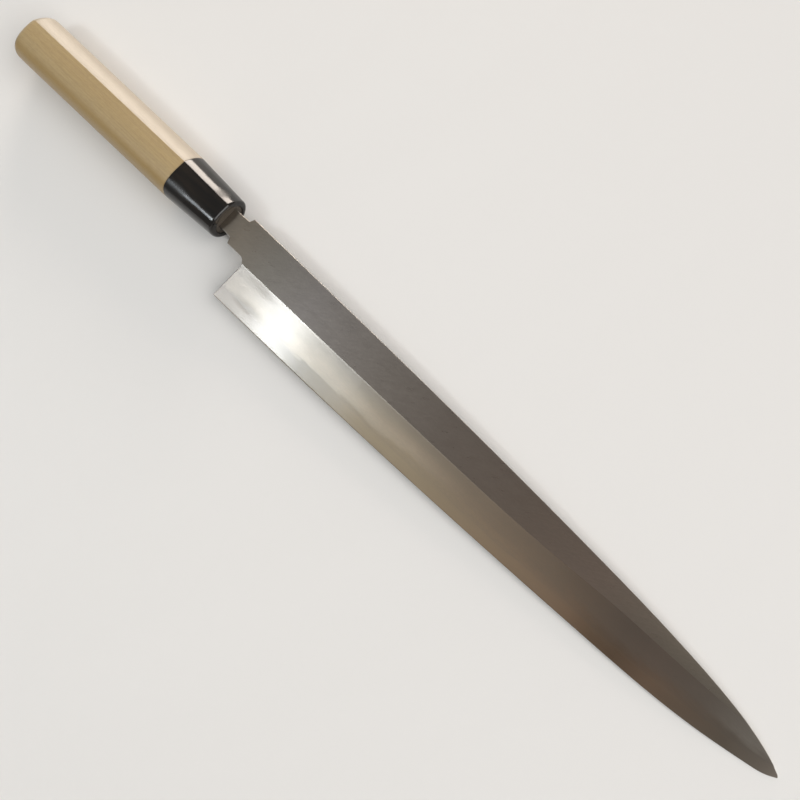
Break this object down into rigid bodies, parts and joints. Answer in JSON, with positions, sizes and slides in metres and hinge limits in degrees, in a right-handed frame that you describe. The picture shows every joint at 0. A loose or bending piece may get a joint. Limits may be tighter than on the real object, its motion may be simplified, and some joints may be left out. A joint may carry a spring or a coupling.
{
  "type": "yanagiba knife",
  "caption": "Long single-bevel slicing knife with a hollow-ground back, plain wooden D-shaped handle and black horn ferrule, lying bevel side up.",
  "frame": {"origin": "middle of the knife's box, on the surface that the handle lies on", "axes": "+X along the handle to the blade's tip, +Y to the spine, +Z out of the bevel side"},
  "size_m": [0.4508, 0.0386, 0.0199],
  "materials": {
    "magnolia_wood": "bare wood, finely sanded",
    "black_horn": "polished horn",
    "soft_iron": "satin, fine hazy brushing",
    "hard_steel": "brighter satin, lengthwise stone marks"
  },
  "bodies": {
    "root": {"handle_wood": "magnolia_wood", "horn_ferrule": "black_horn", "blade_cladding": "soft_iron", "edge_steel": "hard_steel"}
  },
  "joints": []
}
